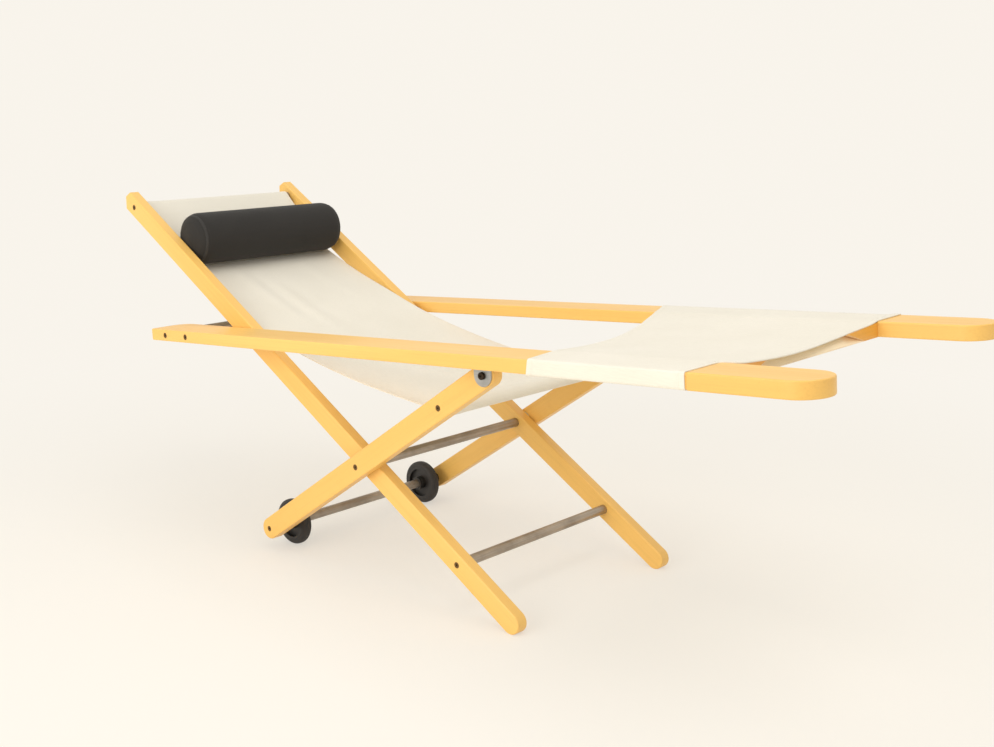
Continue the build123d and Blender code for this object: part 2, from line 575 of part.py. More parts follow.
def sling():
    """Canvas hung from the head rod, round under the bolster, to a loose hem on the seat rod."""
    hem = ROD / 2 + CLOTH_GAP + CLOTH / 2
    cradle = BOLSTER / 2 + CLOTH_GAP + CLOTH / 2
    dx = BOLSTER_MIDDLE[0] - HEAD[0]
    dz = BOLSTER_MIDDLE[1] - HEAD[1]
    drop = degrees(atan2(dz, dx) - asin((hem + cradle) / hypot(dx, dz)))
    pocket = (SEAT[0], SEAT[1] - POCKET_DROP)
    pocket_middle = POCKET + CLOTH / 2
    half = CLOTH / 2

    def face_line(shift):
        start = offset_point(HEAD, drop, hem + shift)
        meet = offset_point(BOLSTER_MIDDLE, drop, shift - cradle)
        leave = offset_point(BOLSTER_MIDDLE, SLING_LEAVE, shift - cradle)
        end = offset_point(pocket, SLING_ARRIVE, shift - pocket_middle)
        mid = offset_point(BOLSTER_MIDDLE, (drop + SLING_LEAVE) / 2, shift - cradle)
        a = radians(SLING_LEAVE)
        b = radians(SLING_ARRIVE)
        pull = (leave[0] + SLING_PULL_TOP * cos(a), leave[1] + SLING_PULL_TOP * sin(a))
        push = (end[0] - SLING_PULL_SEAT * cos(b), end[1] - SLING_PULL_SEAT * sin(b))
        return start, end, [Line(start, meet), ThreePointArc(meet, mid, leave), Bezier(leave, pull, push, end)]

    low_start, low_end, low = face_line(-half)
    high_start, high_end, high = face_line(half)
    sheet = Curve() + low + high + [Line(low_start, high_start), Line(low_end, high_end)]
    section = make_face(sheet)
    section += Pos(*HEAD) * (Circle(hem + half) - Circle(hem - half))
    section += Pos(*pocket) * (Circle(pocket_middle + half) - Circle(pocket_middle - half))
    section -= Pos(*HEAD) * Circle(hem - half)
    section -= Pos(*pocket) * Circle(pocket_middle - half)
    return extrude(Plane.XZ * section, SLING_HALF_WIDTH, both=True)


parts["sling"] = sling()


def bolster_form(shrink):
    """Bolster with rounded ends, drawn in by a distance all round."""
    body = Cylinder(BOLSTER / 2 - shrink, BOLSTER_LONG - 2 * shrink)
    body = fillet(body.edges(), BOLSTER_ROUND - shrink)
    return Pos(BOLSTER_MIDDLE[0], 0, BOLSTER_MIDDLE[1]) * Rot(90, 0, 0) * body


parts["bolster_cover"] = bolster_form(0) - bolster_form(BOLSTER_COVER)
parts["bolster_core"] = bolster_form(BOLSTER_COVER)

# The origin is on the floor under the middle of the whole piece.
boxes = [part.bounding_box() for part in parts.values()]
shift = -(min(box.min.X for box in boxes) + max(box.max.X for box in boxes)) / 2
for name, part in parts.items():
    export_step(Pos(shift, 0, 0) * part, f"parts/{name}.step")

for name, place in {"pivot": PIVOT, "rail bolt": RAIL_PIVOT, "axle": AXLE, "seat rod": SEAT, "head rod": HEAD,
                    "foot rod": FOOT_ROD, "stop rod": STOP_ROD, "bolster": BOLSTER_MIDDLE}.items():
    print(f"{name}: x {place[0] + shift:.2f} z {place[1]:.2f}")
print(f"wheel middle {WHEEL_MIDDLE:.2f}, foot at x {FOOT_AT * cos(radians(POST_SLOPE)) + shift:.2f}")
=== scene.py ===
"""Outdoor chaise lounge: cloth, finishes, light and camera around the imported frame. Metres."""

import json
from math import acos, asin, atan2, cos, exp, hypot, pi, radians, sin

import bpy
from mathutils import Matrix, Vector, noise
from mathutils.bvhtree import BVHTree


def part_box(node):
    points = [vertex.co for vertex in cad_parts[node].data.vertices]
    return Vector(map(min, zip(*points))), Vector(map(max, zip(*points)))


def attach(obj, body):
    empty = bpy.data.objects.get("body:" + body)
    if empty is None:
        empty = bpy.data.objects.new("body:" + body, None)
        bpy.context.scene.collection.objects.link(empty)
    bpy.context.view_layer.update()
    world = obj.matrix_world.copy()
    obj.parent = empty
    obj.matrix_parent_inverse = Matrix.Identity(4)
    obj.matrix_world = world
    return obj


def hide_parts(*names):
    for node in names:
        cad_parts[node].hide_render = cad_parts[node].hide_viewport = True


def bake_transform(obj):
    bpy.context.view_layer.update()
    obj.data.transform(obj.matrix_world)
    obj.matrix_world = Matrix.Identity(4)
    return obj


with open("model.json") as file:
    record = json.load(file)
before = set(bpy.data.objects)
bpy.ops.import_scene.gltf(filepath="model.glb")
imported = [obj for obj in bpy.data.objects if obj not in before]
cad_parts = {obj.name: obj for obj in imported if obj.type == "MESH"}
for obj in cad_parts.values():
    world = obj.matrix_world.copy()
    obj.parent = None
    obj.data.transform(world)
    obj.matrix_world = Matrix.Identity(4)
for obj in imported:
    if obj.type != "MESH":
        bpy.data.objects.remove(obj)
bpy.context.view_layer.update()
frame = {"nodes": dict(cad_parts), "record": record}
joints = {joint["name"]: joint for joint in frame["record"]["behaviour"]["joints"]}
MM = 0.001

# Stance of the boards, degrees
POST_SLOPE = -30.28
LEG_SLOPE = 34.4
RAIL_SLOPE = 4.58
BOLT = Vector(joints["rails_tilt"]["pos_m"])
RAIL_ALONG = Vector((cos(radians(RAIL_SLOPE)), 0, sin(radians(RAIL_SLOPE))))
RAIL_UP = Vector((-sin(radians(RAIL_SLOPE)), 0, cos(radians(RAIL_SLOPE))))

# Cloth
CLOTH = 1.4 * MM
CLOTH_GAP = 0.3 * MM
CLOTH_OFF = CLOTH_GAP + CLOTH / 2      # cloth's middle from what it lies on
HEM = 13 * MM                          # folded edge
HEM_THICK = 2.3 * MM
HEM_ROWS = (0.0, 0.8 * MM, HEM / 2, HEM - 0.7 * MM)  # mesh rows of a folded edge, from the edge inward
STITCH_PITCH = 4.6 * MM
STITCH_LONG = 3.3 * MM
STITCH_RADIUS = 0.45 * MM
STITCH_SIDES = 6
STITCH_IN = HEM - 3 * MM               # hem stitches from the folded edge
SEAM_IN = 4 * MM                       # seam stitches from the sewn edge
SEAM_STEPS = 60

# Sling, as it hangs in the frame
SLING_LEAVE = radians(-24)             # slope past the bolster
SLING_ARRIVE = radians(-3)             # slope at the seat rod
SLING_PULL_TOP = 330 * MM
SLING_PULL_SEAT = 400 * MM
SLING_TWIST = 11 * MM                  # the right edge hangs lower than the left one
SLING_FLARE = 24 * MM                  # it widens towards the seat rod, by this much on each side
SLING_DRIFT = 2.0 * MM                 # slow unevenness
SLING_STEPS = 74                       # points of the hanging line, past the bolster
SLING_ACROSS = 12 * MM                 # mesh step across
POCKET = 14.7 * MM                     # loose seat hem
POCKET_DROP = 4 * MM
HEAD_SEAM = 42 * MM                    # sewn flap behind the head rod
SEAT_SEAM = 48 * MM
# Where its shaping starts, in metres past the bolster, and the length over which it comes in or fades out
TWIST_FROM, TWIST_RISE = 0.04, 0.25
TWIST_TO, TWIST_FALL = 0.84, 0.42
FLARE_FROM, FLARE_RISE = 0.42, 0.4
FOLDS_RISE, FOLDS_FALL = 0.05, 0.12

# Leg canvas, in stations along the rail from the bracket bolt
CANVAS_FRONT = 471 * MM
CANVAS_OVER = 20 * MM                  # on the left its top reaches this far over the handle
CANVAS_LIP = 17 * MM                   # between the handles it reaches this far over the cross bar
LIP_SKEW = 15 * MM                     # and so much farther on the right
SKEW_FROM = 134 * MM
SKEW_WIDE = 260 * MM
LIP_EASE = {-1: 14 * MM, 1: 110 * MM}  # width over which the front edge bends to a handle, right and left
CANVAS_NOTCH = 48 * MM                 # underside starts here, clear of the bracket
REAR_EDGE = [(-332, 165), (-234, 148), (0, 96), (237, 10), (332, -38)]
REAR_LOW = {-1: 158 * MM, 1: -30 * MM}
SAG_MIDDLE = 13 * MM
SAG_FRONT = 11 * MM
SAG_FROM, SAG_OVER = 370 * MM, 90 * MM  # where the sag passes from one to the other
CANVAS_DRIFT = 0.9 * MM                # slow unevenness
LIFT_BEFORE, LIFT_OVER = 6 * MM, 9 * MM  # the left edge climbs onto the handle
LIFT_FADE = 20 * MM                    # and comes down again over this width
CANVAS_STEPS = 40                      # mesh rows along the rails
SHEET_COLUMNS = 18                     # mesh columns from a rail to the middle
WRAP_STEPS = 8                         # mesh columns across a rail's top or underside
RAIL_UNDER = 23.5 * MM
RAIL_THICK = 25 * MM
HANDLE_PROUD = 1.5 * MM
RAIL_ROUND = 2.5 * MM


def middle(name):
    """Centre of a node's box."""
    low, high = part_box(name)
    return (Vector(low) + Vector(high)) / 2


def smooth_step(x):
    """0 to 1, level at both ends."""
    x = min(max(x, 0.0), 1.0)
    return x * x * (3 - 2 * x)


def add_mesh(name, points, faces):
    """A smooth-shaded mesh object."""
    mesh = bpy.data.meshes.new(name)
    mesh.from_pydata([tuple(p) for p in points], [], faces)
    mesh.shade_smooth()
    piece = bpy.data.objects.new(name, mesh)
    bpy.context.scene.collection.objects.link(piece)
    return piece


def grid_faces(rows, columns):
    """Quads of a grid whose points are listed row by row."""
    return [(r * columns + c, r * columns + c + 1, (r + 1) * columns + c + 1, (r + 1) * columns + c)
            for r in range(rows - 1) for c in range(columns - 1)]


def soften(piece):
    """One subdivision."""
    soft = piece.modifiers.new("soften", "SUBSURF")
    soft.levels = 1
    soft.render_levels = 1


def thicken(piece, hem_points):
    """Gives a sheet its thickness, more along its folded edges."""
    hem = piece.vertex_groups.new(name="hem")
    hem.add(hem_points, 1.0, "REPLACE")
    solid = piece.modifiers.new("thickness", "SOLIDIFY")
    solid.thickness = HEM_THICK
    solid.offset = 0
    solid.vertex_group = "hem"
    solid.thickness_vertex_group = CLOTH / HEM_THICK
    soften(piece)


def stitches(name, seams):
    """Small thread stitches along seams, each a list of (point, normal) on the cloth's face."""
    points, faces = [], []
    sides = STITCH_SIDES
    for seam in seams:
        travelled = 0.0
        due = STITCH_PITCH / 2
        for (p, n), (q, _) in zip(seam, seam[1:]):
            step = (q - p).length
            if step < 1e-9:
                continue
            along = (q - p) / step
            across = along.cross(n).normalized()
            while due <= travelled + step:
                centre = p + along * (due - travelled)
                base = len(points)
                for place, share in ((-0.5, 0.45), (0.0, 1.0), (0.5, 0.45)):
                    ring = centre + along * (place * STITCH_LONG) - n * ((1 - share) * STITCH_RADIUS)
                    for k in range(sides):
                        a = 2 * pi * k / sides
                        out = across * cos(a) + n * sin(a)
                        points.append(ring + out * (STITCH_RADIUS * share))
                for r in range(2):
                    for k in range(sides):
                        m = (k + 1) % sides
                        faces.append((base + r * sides + k, base + r * sides + m,
                                      base + (r + 1) * sides + m, base + (r + 1) * sides + k))
                faces.append(tuple(base + k for k in reversed(range(sides))))
                faces.append(tuple(base + 2 * sides + k for k in range(sides)))
                due += STITCH_PITCH
            travelled += step
    return add_mesh(name, points, faces)


# Materials

def material(name, **sockets):
    """A new material; returns it with its node tree and shader, plain values set on the shader."""
    made = bpy.data.materials.new(name)
    made.use_nodes = True
    shader = made.node_tree.nodes["Principled BSDF"]
    for socket, value in sockets.items():
        shader.inputs[socket.replace("_", " ").title().replace("Ior", "IOR")].default_value = value
    return made, made.node_tree, shader


def node(tree, kind, inputs=(), **settings):
    """A node with its settings; inputs are (socket, value or output to link) pairs."""
    made = tree.nodes.new("ShaderNode" + kind)
    for key, value in settings.items():
        setattr(made, key, value)
    for key, value in inputs:
        if isinstance(value, bpy.types.NodeSocket):
            tree.links.new(value, made.inputs[key])
        else:
            made.inputs[key].default_value = value
    return made


def math(tree, operation, a, b=0.0):
    """Output of a math node."""
    return node(tree, "Math", [(0, a), (1, b)], operation=operation).outputs[0]


def dot(tree, a, b):
    """Output of a dot product."""
    return node(tree, "VectorMath", [(0, a), (1, b)], operation="DOT_PRODUCT").outputs["Value"]


def mapped(tree, rotation, scale):
    """Object coordinates turned and scaled, so that x runs along a board."""
    place = node(tree, "TexCoord").outputs["Object"]
    turned = node(tree, "Mapping", [("Vector", place), ("Rotation", rotation)], vector_type="POINT").outputs[0]
    scaled = node(tree, "Mapping", [("Vector", turned), ("Scale", scale)], vector_type="POINT")
    return scaled.outputs[0]


def ramp(tree, value, stops):
    """Colour ramp output; stops are (place, linear colour)."""
    made = node(tree, "ValToRGB", [("Fac", value)])
    elements = made.color_ramp.elements
    while len(elements) < len(stops):
        elements.new(0.5)
    for element, (place, colour) in zip(elements, stops):
        element.position = place
        element.color = (*colour, 1) if len(colour) == 3 else colour
    return made.outputs["Color"]


def noise_of(tree, vector, scale, detail=3.0, rough=0.55):
    """Factor of a noise texture."""
    return node(tree, "TexNoise", [("Vector", vector), ("Scale", scale), ("Detail", detail),
                                   ("Roughness", rough)]).outputs["Fac"]


def grey(value):
    """A neutral colour."""
    return (value, value, value)


def mix(tree, kind, share, a, b):
    """Colour mix output."""
    made = node(tree, "Mix", data_type="RGBA", blend_type=kind)
    for socket, value in ((made.inputs[0], share), (made.inputs[6], a), (made.inputs[7], b)):
        if isinstance(value, bpy.types.NodeSocket):
            tree.links.new(value, socket)
        else:
            socket.default_value = value if not isinstance(value, tuple) else (*value[:3], 1)
    return made.outputs[2]


def bump(tree, shader, height, strength, distance):
    """Relief on the shader."""
    made = node(tree, "Bump", [("Height", height), ("Strength", strength), ("Distance", distance)])
    tree.links.new(made.outputs[0], shader.inputs["Normal"])


WOOD_TONES = [(0.3, (0.88, 0.51, 0.118)), (0.5, (0.91, 0.55, 0.14)), (0.72, (0.94, 0.59, 0.165))]
WOOD_DRIFT = (1.2, 9.0, 9.0)           # scales along and across a board
WOOD_GRAIN = (6.0, 260.0, 260.0)
WOOD_FLECK = (170.0, 1500.0, 1500.0)
WOOD_WEAR = (14.0, 60.0, 60.0)
WEAR_RADIUS = 3.2 * MM                 # edges are worn this far in
WEAR_SHARE = 0.5
WEAR_TONE = (0.50, 0.22, 0.04)
BAR_STOP = 186 * MM                    # foot of the cross bar's chamfer at its ends
BAR_LEAN = 3.08                        # its ends lean inward by this much for each step up
BAR_FOOT = 22 * MM                     # height of that foot above the bolt
BAR_BLEND = 5 * MM
# cross bar tones: the pale one is painted light on the chamfer, the deep one is painted shade at the ends
BAR_PAINTED_LIGHT_AND_SHADE = [(0.0, (1.0, 0.83, 0.57)), (1.0, (0.84, 0.40, 0.055))]


def bar_painted_light_and_shade(tree):
    """Colour along the cross bar: painted light on the chamfer, painted shade at the ends."""
    place = node(tree, "TexCoord").outputs["Object"]
    off = math(tree, "ABSOLUTE", node(tree, "SeparateXYZ", [(0, place)]).outputs["Y"])
    high = dot(tree, place, RAIL_UP * BAR_LEAN)
    stop = BAR_STOP + BAR_LEAN * (RAIL_UP.dot(BOLT) + BAR_FOOT)
    share = node(tree, "MapRange", [("Value", math(tree, "ADD", off, high)), ("From Min", stop - BAR_BLEND),
                                    ("From Max", stop + BAR_BLEND)]).outputs[0]
    return ramp(tree, share, BAR_PAINTED_LIGHT_AND_SHADE)


def wood(name, rotation, tone=None):
    """Lacquered beech in honey yellow: drifting tone, fine grain, ray flecks, edges worn darker.

    A tone is a function that gives another colour than the drifting one.
    """
    made, tree, shader = material(name, ior=1.5, coat_weight=0.2, coat_roughness=0.35)
    drift = noise_of(tree, mapped(tree, rotation, WOOD_DRIFT), 1.0, 2.0)
    grain = noise_of(tree, mapped(tree, rotation, WOOD_GRAIN), 1.0, 4.0, 0.6)
    fleck = noise_of(tree, mapped(tree, rotation, WOOD_FLECK), 1.0, 1.0)
    colour = tone(tree) if tone else ramp(tree, drift, WOOD_TONES)
    lines = ramp(tree, grain, [(0.32, grey(0.94)), (0.5, grey(1.0)), (0.68, grey(1.0))])
    colour = mix(tree, "MULTIPLY", 1.0, colour, lines)
    dashes = ramp(tree, fleck, [(0.26, (0.72, 0.6, 0.45)), (0.34, grey(1.0))])
    colour = mix(tree, "MULTIPLY", 0.3, colour, dashes)
    rounded = node(tree, "Bevel", [("Radius", WEAR_RADIUS)], samples=6).outputs[0]
    turn = dot(tree, rounded, node(tree, "NewGeometry").outputs["True Normal"])
    worn = noise_of(tree, mapped(tree, rotation, WOOD_WEAR), 1.0, 3.0)
    edge = math(tree, "MULTIPLY", ramp(tree, turn, [(0.86, grey(1.0)), (0.985, grey(0.0))]),
                ramp(tree, worn, [(0.42, grey(0.15)), (0.62, grey(1.0))]))
    colour = mix(tree, "MIX", math(tree, "MULTIPLY", edge, WEAR_SHARE), colour, WEAR_TONE)
    tree.links.new(colour, shader.inputs["Base Color"])
    tree.links.new(ramp(tree, grain, [(0.3, grey(0.5)), (0.7, grey(0.4))]), shader.inputs["Roughness"])
    bump(tree, shader, grain, 0.12, 0.25 * MM)
    return made


def metal(name, colour, rotation, roughness, scratch=(8.0, 900.0, 900.0)):
    """Brushed steel with a drifting tone."""
    made, tree, shader = material(name, metallic=1.0, anisotropic=0.4)
    brushed = noise_of(tree, mapped(tree, rotation, scratch), 1.0, 4.0, 0.65)
    cloud = noise_of(tree, mapped(tree, rotation, (22.0, 22.0, 22.0)), 1.0, 3.0)
    dark = tuple(0.72 * c for c in colour)
    tone = ramp(tree, cloud, [(0.35, dark), (0.65, colour)])
    streak = ramp(tree, brushed, [(0.3, grey(0.78)), (0.7, grey(1.0))])
    tree.links.new(mix(tree, "MULTIPLY", 1.0, tone, streak), shader.inputs["Base Color"])
    tree.links.new(ramp(tree, brushed, [(0.3, grey(roughness + 0.08)), (0.7, grey(roughness - 0.06))]),
                   shader.inputs["Roughness"])
    bump(tree, shader, brushed, 0.15, 0.08 * MM)
    return made


def moulded(name, colour, roughness, grain=900.0):
    """Plastic, nylon or rubber with a fine moulded grain and a little dust tone."""
    made, tree, shader = material(name, ior=1.48)
    place = node(tree, "TexCoord").outputs["Object"]
    fine = noise_of(tree, place, grain, 2.0)
    cloud = noise_of(tree, place, 35.0, 4.0)
    light = tuple(1.7 * c + 0.004 for c in colour)
    tree.links.new(ramp(tree, cloud, [(0.4, colour), (0.75, light)]), shader.inputs["Base Color"])
    tree.links.new(ramp(tree, cloud, [(0.3, grey(roughness - 0.06)), (0.7, grey(roughness + 0.1))]),
                   shader.inputs["Roughness"])
    bump(tree, shader, fine, 0.2, 0.12 * MM)
    return made


def weave(tree, pitch):
    """Height of a plain weave in object coordinates, threads a pitch apart."""
    place = node(tree, "TexCoord").outputs["Object"]
    parts = node(tree, "SeparateXYZ", [(0, place)]).outputs
    turn = 2 * pi / pitch
    slant = math(tree, "ADD", parts["X"], math(tree, "MULTIPLY", parts["Z"], 0.35))
    warp = math(tree, "SINE", math(tree, "MULTIPLY", slant, turn))
    weft = math(tree, "SINE", math(tree, "MULTIPLY", parts["Y"], turn))
    return math(tree, "MULTIPLY", warp, weft)


def cloth(name, tones, pitch, depth, sheen, rough):
    """Woven cloth: plain weave, slubs and a slow drift of tone."""
    made, tree, shader = material(name, sheen_weight=sheen, sheen_roughness=0.5, specular_ior_level=0.25)
    place = node(tree, "TexCoord").outputs["Object"]
    drift = noise_of(tree, place, 7.0, 3.0)
    slub = noise_of(tree, mapped(tree, (0, 0, 0), (60.0, 900.0, 900.0)), 1.0, 2.0)
    threads = weave(tree, pitch)
    colour = ramp(tree, drift, [(0.3, tones[0]), (0.7, tones[1])])
    colour = mix(tree, "MULTIPLY", 1.0, colour, ramp(tree, slub, [(0.3, grey(0.95)), (0.6, grey(1.0))]))
    height = node(tree, "Math", [(0, threads), (1, 0.5), (2, 0.5)], operation="MULTIPLY_ADD").outputs[0]
    # the weave's low points are painted darker: painted shade between the threads
    shade = ramp(tree, height, [(0.0, grey(0.93)), (0.6, grey(1.0))])
    colour = mix(tree, "MULTIPLY", 1.0, colour, shade)
    tree.links.new(colour, shader.inputs["Base Color"])
    matt = ramp(tree, slub, [(0.3, grey(rough + 0.05)), (0.7, grey(rough - 0.05))])
    tree.links.new(matt, shader.inputs["Roughness"])
    bump(tree, shader, math(tree, "ADD", threads, slub), 0.35, depth)
    return made


POST_GRAIN = (0, radians(POST_SLOPE), 0)
LEG_GRAIN = (0, radians(LEG_SLOPE), 0)
RAIL_GRAIN = (0, radians(RAIL_SLOPE), 0)
ACROSS = (0, 0, radians(90))
TURNED = (300.0, 300.0, 300.0)         # marks on a screw head run no one way
wood_post = wood("wood_post", POST_GRAIN)
wood_leg = wood("wood_leg", LEG_GRAIN)
wood_rail = wood("wood_rail", RAIL_GRAIN)
# the cross bar's colour carries painted light on its chamfer and painted shade at its ends
wood_bar = wood("wood_bar", ACROSS, bar_painted_light_and_shade)
rod_steel = metal("rod_steel", (0.50, 0.425, 0.345), ACROSS, 0.45)
bracket_steel = metal("bracket_steel", (0.62, 0.61, 0.58), RAIL_GRAIN, 0.38)
screw_steel = metal("screw_steel", (0.26, 0.16, 0.07), ACROSS, 0.45, TURNED)
bolt_steel = metal("bolt_steel", (0.085, 0.058, 0.04), ACROSS, 0.45, TURNED)
nylon = moulded("nylon", (0.62, 0.6, 0.55), 0.5)
wheel_plastic = moulded("wheel_plastic", (0.022, 0.0195, 0.018), 0.45)
tyre_rubber = moulded("tyre_rubber", (0.024, 0.021, 0.0195), 0.62, 500.0)
canvas = cloth("canvas", [(0.83, 0.785, 0.675), (0.86, 0.815, 0.71)],
               pitch=0.9 * MM, depth=0.12 * MM, sheen=0.12, rough=0.85)
thread = cloth("thread", [(0.80, 0.755, 0.64), (0.84, 0.79, 0.675)],
               pitch=0.5 * MM, depth=0.05 * MM, sheen=0.1, rough=0.8)
bolster_cloth = cloth("bolster_cloth", [(0.023, 0.0212, 0.0195), (0.029, 0.0268, 0.0245)],
                      pitch=0.8 * MM, depth=0.12 * MM, sheen=0.06, rough=0.8)
# lighter than the cover: painted highlight along the crease where the bolster's end meets its side
bolster_thread_and_highlight = cloth("bolster_thread_and_highlight", [(0.033, 0.031, 0.029), (0.041, 0.039, 0.037)],
                       pitch=0.8 * MM, depth=0.08 * MM, sheen=0.1, rough=0.75)
bolster_filling = cloth("bolster_filling", [(0.75, 0.72, 0.64), (0.8, 0.77, 0.7)],
                        pitch=2 * MM, depth=0.2 * MM, sheen=0.1, rough=0.9)

NODE_FINISH = {"post_left": wood_post, "post_right": wood_post, "leg_left": wood_leg, "leg_right": wood_leg,
               "arm_rail_left": wood_rail, "arm_rail_right": wood_rail, "leg_rest_crossbar": wood_bar,
               "crossbar_dowels": wood_bar, "rail_pivot_bolts": bolt_steel}
SLOT_FINISH = {"rod_steel": rod_steel, "bracket_steel": bracket_steel, "screw_steel": screw_steel, "nylon": nylon,
               "wheel_plastic": wheel_plastic, "tyre_rubber": tyre_rubber, "canvas": canvas,
               "bolster_cloth": bolster_cloth, "bolster_filling": bolster_filling}


def finish(piece, look):
    """One material on a piece."""
    piece.data.materials.clear()
    piece.data.materials.append(look)


for part in frame["record"]["subparts"]:
    name = part["node"]
    finish(frame["nodes"][name], NODE_FINISH.get(name) or SLOT_FINISH[part["material_slot"]])


# Sling

HEAD = middle("head_rod").xz
SEAT = middle("seat_rod").xz
BOLSTER = middle("bolster_cover")
ROD_RADIUS = (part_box("head_rod")[1][2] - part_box("head_rod")[0][2]) / 2
BOLSTER_RADIUS = (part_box("bolster_cover")[1][2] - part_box("bolster_cover")[0][2]) / 2
BOLSTER_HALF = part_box("bolster_cover")[1][1]
SLING_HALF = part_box("sling")[1][1]


def toward(angle):
    """Unit vector in XZ."""
    return Vector((cos(angle), sin(angle)))


def arc(centre, radius, first, last, step):
    """Points on a circle from one angle to another."""
    count = max(2, round(abs(last - first) / step))
    return [centre + radius * toward(first + (last - first) * k / count) for k in range(count + 1)]


def straight(p, q, step):
    """Points from p towards q, without q."""
    count = max(1, round((q - p).length / step))
    return [p.lerp(q, k / count) for k in range(count)]


def sewn_loop(centre, radius, first, seam):
    """Hem that runs anticlockwise round a rod and then straight to its seam."""
    way = seam - centre
    last = atan2(way.y, way.x) - acos(radius / way.length)
    while last < first:
        last += 2 * pi
    ring = arc(centre, radius, first, last, radians(10))
    return ring[:-1] + straight(ring[-1], seam, 5 * MM) + [seam]


def sling_line():
    """Middle line of the sling in XZ, from the seam behind the head rod to the one at the seat rod.

    Returns the points and the numbers of the first and last point of the open sheet.
    """
    hem = ROD_RADIUS + CLOTH_OFF
    cradle = BOLSTER_RADIUS + CLOTH_OFF
    bolster = BOLSTER.xz
    way = bolster - HEAD
    drop = atan2(way.y, way.x) - asin((hem + cradle) / way.length)
    pocket = SEAT - Vector((0, POCKET_DROP))
    start = HEAD + hem * toward(drop + pi / 2)
    meet = bolster + cradle * toward(drop - pi / 2)
    leave = bolster + cradle * toward(SLING_LEAVE - pi / 2)
    end = pocket + POCKET * toward(SLING_ARRIVE - pi / 2)
    head_seam = start + HEAD_SEAM * toward(drop) - 1.5 * CLOTH * toward(drop + pi / 2)
    head = list(reversed(sewn_loop(HEAD, hem, drop + pi / 2, head_seam)))
    sheet = straight(start, meet, 10 * MM)
    sheet += arc(bolster, cradle, drop - pi / 2, SLING_LEAVE - pi / 2, radians(8))[:-1]
    pull = leave + SLING_PULL_TOP * toward(SLING_LEAVE)
    push = end - SLING_PULL_SEAT * toward(SLING_ARRIVE)
    for k in range(SLING_STEPS):
        t = k / SLING_STEPS
        sheet.append((1 - t) ** 3 * leave + 3 * t * (1 - t) ** 2 * pull
                     + 3 * t * t * (1 - t) * push + t ** 3 * end)
    seat_seam = end - SEAT_SEAM * toward(SLING_ARRIVE) + 1.5 * CLOTH * toward(SLING_ARRIVE + pi / 2)
    seat = sewn_loop(pocket, POCKET, SLING_ARRIVE - pi / 2, seat_seam)
    return head[:-1] + sheet + seat, len(head) - 1, len(head) - 1 + len(sheet)


def line_frames(points):
    """Distance along a line of XZ points and the normal to the left of it at each point."""
    run = [0.0]
    for p, q in zip(points, points[1:]):
        run.append(run[-1] + (q - p).length)
    normals = []
    for k in range(len(points)):
        way = (points[min(k + 1, len(points) - 1)] - points[max(k - 1, 0)]).normalized()
        normals.append(Vector((-way.y, way.x)))
    return run, normals


# Soft folds of the sling: (distance past the bolster, y) where one starts and ends, height, half width
SLING_FOLDS = [
    ((0.05, -0.103), (0.29, -0.088), 2.2 * MM, 13 * MM),
    ((0.08, -0.072), (0.33, -0.064), -1.5 * MM, 11 * MM),
    ((0.13, -0.044), (0.38, -0.042), 2.0 * MM, 11 * MM),
    ((0.14, -0.018), (0.38, -0.012), -1.3 * MM, 14 * MM),
    ((0.03, 0.080), (0.30, 0.120), 1.4 * MM, 22 * MM),
    ((0.62, -0.060), (0.86, 0.030), 1.5 * MM, 16 * MM),
]
sling_points, sheet_first, sheet_last = sling_line()
sling_run, sling_normals = line_frames(sling_points)
leave_run = sling_run[sheet_last - SLING_STEPS]
sheet_length = sling_run[sheet_last] - leave_run


def fold_height(past, y):
    """How far the sling stands off its even line, past the bolster."""
    if past <= 0 or past >= sheet_length:
        return 0.0
    height = 0.0
    for first, last, high, wide in SLING_FOLDS:
        a, b = Vector(first), Vector(last)
        way = b - a
        share = (Vector((past, y)) - a).dot(way) / way.length_squared
        off = (Vector((past, y)) - a - way * share).length
        # a fold comes in quickly before its start and dies away past its end
        ends = smooth_step((share + 0.1) / 0.3) * smooth_step((1.15 - share) / 0.5)
        height += high * exp(-(off / wide) ** 2) * ends
    drift = noise.noise(Vector((past * 5, y * 7, 3.0))) * SLING_DRIFT
    calm = smooth_step(past / FOLDS_RISE) * smooth_step((sheet_length - past) / FOLDS_FALL)
    twist = smooth_step((past - TWIST_FROM) / TWIST_RISE) * smooth_step((TWIST_TO - past) / TWIST_FALL)
    return (height + drift) * calm + SLING_TWIST * twist * y / SLING_HALF


def sling_spot(k, y):
    """Point and normal of the sling at line point k, y from the middle."""
    n = sling_normals[k]
    past = sling_run[k] - leave_run
    p = sling_points[k] + n * fold_height(past, y)
    wider = 1 + SLING_FLARE / SLING_HALF * smooth_step((past - FLARE_FROM) / FLARE_RISE)
    return Vector((p.x, y * wider, p.y)), Vector((n.x, 0, n.y))


def across_places(half, step):
    """Y values across a sheet, close together at the folded edges."""
    inner = half - HEM
    count = round(2 * inner / step)
    places = [-inner + 2 * inner * k / count for k in range(count + 1)]
    edge = [row - half for row in HEM_ROWS]
    return edge + places + [-y for y in reversed(edge)]


sling_across = across_places(SLING_HALF, SLING_ACROSS)
rows, columns = len(sling_points), len(sling_across)
sling_grid = [sling_spot(k, y)[0] for k in range(rows) for y in sling_across]
sling_faces = grid_faces(rows, columns)
sling = add_mesh("canvas_sling", sling_grid, sling_faces)
thicken(sling, [r * columns + c for r in range(rows) for c in range(columns)
                if abs(sling_across[c]) > SLING_HALF - HEM - 0.5 * MM])
finish(sling, canvas)

